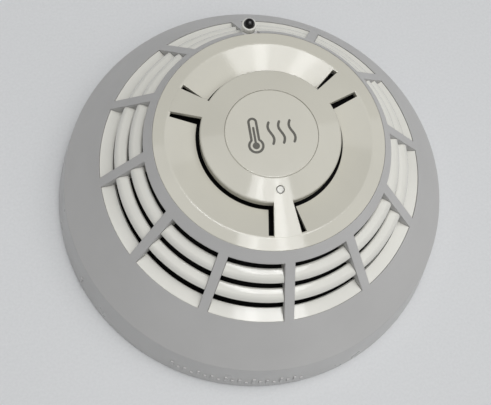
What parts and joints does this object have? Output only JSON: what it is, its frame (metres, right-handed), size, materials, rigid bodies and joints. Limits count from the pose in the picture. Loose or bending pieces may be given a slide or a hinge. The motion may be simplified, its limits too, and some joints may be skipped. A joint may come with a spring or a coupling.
{
  "type": "heat detector",
  "caption": "Round plug-in heat detector with a conical slotted cover, spoked louvre grille, dished front cap and thermistor bead on a twist-lock base.",
  "frame": {"origin": "centre of the mounting base's back face", "axes": "+Z from the mounting surface towards the sensing face, -Y towards the status window"},
  "size_m": [0.112, 0.112, 0.049],
  "materials": {
    "cover_plastic": "fine matt texture",
    "cream_plastic": "gloss moulding",
    "badge_plastic": "satin moulding",
    "clear_plastic": "clear polished",
    "black_epoxy": "gloss",
    "black_plastic": "matt",
    "base_plastic": "satin moulding",
    "tinned_copper": "tinned",
    "sleeve_plastic": "matt",
    "board_laminate": "solder mask",
    "contact_metal": "stamped",
    "screw_steel": "zinc plated",
    "ceramic_chip": "matt",
    "led_plastic": "clear red",
    "can_metal": "drawn can",
    "label_film": "satin film"
  },
  "bodies": {
    "mounting_base": {"base_plate": "base_plastic", "base_contacts": "contact_metal", "contact_rivets": "contact_metal", "terminal_clamps": "screw_steel", "terminal_screws": "screw_steel"},
    "detector_head": {"outer_cover": "cover_plastic", "vent_louvres": "cream_plastic", "front_cap": "cream_plastic", "cap_badge": "badge_plastic", "light_pipe": "clear_plastic", "thermistor_bead": "black_epoxy", "thermistor_leads": "tinned_copper", "lead_sleeves": "sleeve_plastic", "chamber_shroud": "black_plastic", "circuit_board": "board_laminate", "microcontroller": "black_epoxy", "microcontroller_pins": "tinned_copper", "filter_capacitors": "can_metal", "status_led": "led_plastic", "chip_resistors": "ceramic_chip", "surge_diodes": "ceramic_chip", "crystal_can": "can_metal", "contact_blades": "contact_metal", "rear_chassis": "base_plastic", "chassis_screws": "screw_steel", "board_screws": "screw_steel", "rating_label": "label_film"}
  },
  "joints": [
    {"name": "head_twist", "type": "hinge", "parent": "mounting_base", "child": "detector_head", "pos_m": [0, 0, 0.009], "axis": [0, 0, 1], "range_deg": [0, 26]}
  ]
}
